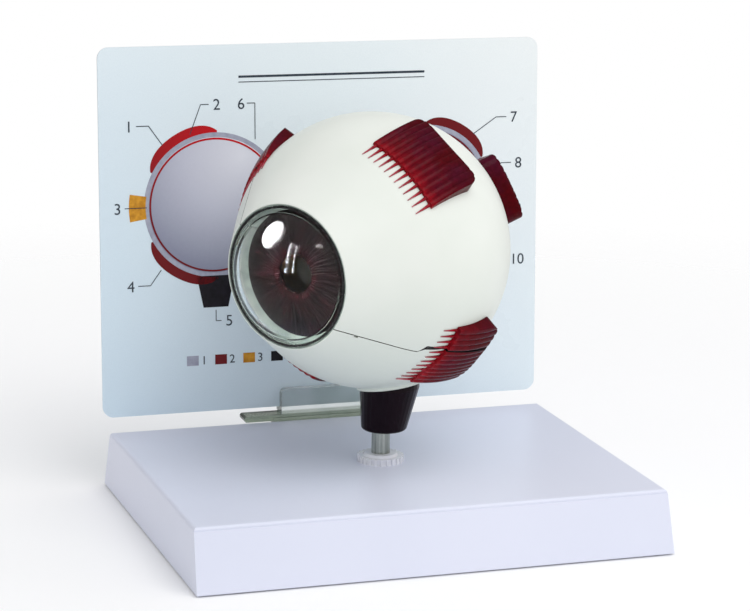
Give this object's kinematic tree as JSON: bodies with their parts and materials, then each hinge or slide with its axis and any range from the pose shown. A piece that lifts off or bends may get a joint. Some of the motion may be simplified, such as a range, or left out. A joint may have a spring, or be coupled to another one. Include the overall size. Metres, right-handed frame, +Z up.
{
  "type": "eye anatomy model",
  "caption": "Desk model of an enlarged human eye with ribbed muscles, lift-off upper half and removable inner parts, on a swivel stand with a key card behind.",
  "frame": {"origin": "centre of the base's footprint on the table, which is also the swivel rod's axis", "axes": "+X along the base's front edge to the right, +Y to the back, +Z up"},
  "size_m": [0.1663, 0.1342, 0.1573],
  "materials": {
    "base_plastic": "smooth",
    "foot_rubber": "matte",
    "bush_plastic": "clear, ribbed",
    "rod_steel": "brushed",
    "clip_steel": "blackened",
    "screw_steel": "satin",
    "clear_acrylic": "clear",
    "card_laminate": "glossy laminate",
    "post_plastic": "glossy",
    "sclera_plastic": "satin gloss",
    "choroid_plastic": "painted",
    "retina_plastic": "painted",
    "muscle_plastic": "glossy paint",
    "nerve_plastic": "painted",
    "sheath_plastic": "painted",
    "vessel_plastic": "painted",
    "iris_plastic": "painted",
    "ciliary_plastic": "painted",
    "lens_clear": "clear",
    "vitreous_clear": "clear",
    "cornea_clear": "clear",
    "seal_rubber": "matte"
  },
  "bodies": {
    "stand": {"base_shell": "base_plastic", "rubber_feet": "foot_rubber", "rod_bush": "bush_plastic", "card_holder": "clear_acrylic", "holder_screws": "screw_steel"},
    "pivot": {"support_rod": "rod_steel", "thrust_washer": "screw_steel", "retaining_clip": "clip_steel"},
    "card": {"key_card": "card_laminate"},
    "eye": {"mounting_post": "post_plastic", "post_screws": "screw_steel", "lower_sclera": "sclera_plastic", "lower_choroid": "choroid_plastic", "lower_retina": "retina_plastic", "locating_pins": "screw_steel", "inferior_rectus": "muscle_plastic", "inferior_oblique": "muscle_plastic", "lower_medial_rectus": "muscle_plastic", "lower_lateral_rectus": "muscle_plastic", "optic_nerve": "nerve_plastic", "nerve_sheath": "sheath_plastic", "nerve_vessels": "vessel_plastic"},
    "upper_half": {"upper_sclera": "sclera_plastic", "upper_choroid": "choroid_plastic", "upper_retina": "retina_plastic", "superior_rectus": "muscle_plastic", "superior_oblique": "muscle_plastic", "upper_medial_rectus": "muscle_plastic", "upper_lateral_rectus": "muscle_plastic"},
    "core": {"iris": "iris_plastic", "ciliary_body": "ciliary_plastic", "lens": "lens_clear", "vitreous_body": "vitreous_clear"},
    "cornea_unit": {"cornea": "cornea_clear", "cornea_seal": "seal_rubber"}
  },
  "joints": [
    {"name": "rod_swivel", "type": "hinge", "parent": "stand", "child": "pivot", "pos_m": [0, 0, 0.024], "axis": [0, 0, 1], "continuous": true},
    {"name": "eye_lift", "type": "slide", "parent": "pivot", "child": "eye", "axis": [0, 0, 1], "range_m": [0, 0.05]},
    {"name": "upper_half_lift", "type": "slide", "parent": "eye", "child": "upper_half", "axis": [0.3446, -0.5106, 0.7877], "range_m": [0, 0.1]},
    {"name": "core_lift", "type": "slide", "parent": "eye", "child": "core", "axis": [0.3446, -0.5106, 0.7877], "range_m": [0, 0.05]},
    {"name": "cornea_pull", "type": "slide", "parent": "eye", "child": "cornea_unit", "axis": [-0.8087, -0.5876, -0.027], "range_m": [0, 0.02]},
    {"name": "card_lift", "type": "slide", "parent": "stand", "child": "card", "axis": [0, 0.0523, 0.9986], "range_m": [0, 0.02]}
  ],
  "couplings": [
    {"joint": "core_lift", "follows": "upper_half_lift", "ratio": 0.5}
  ]
}
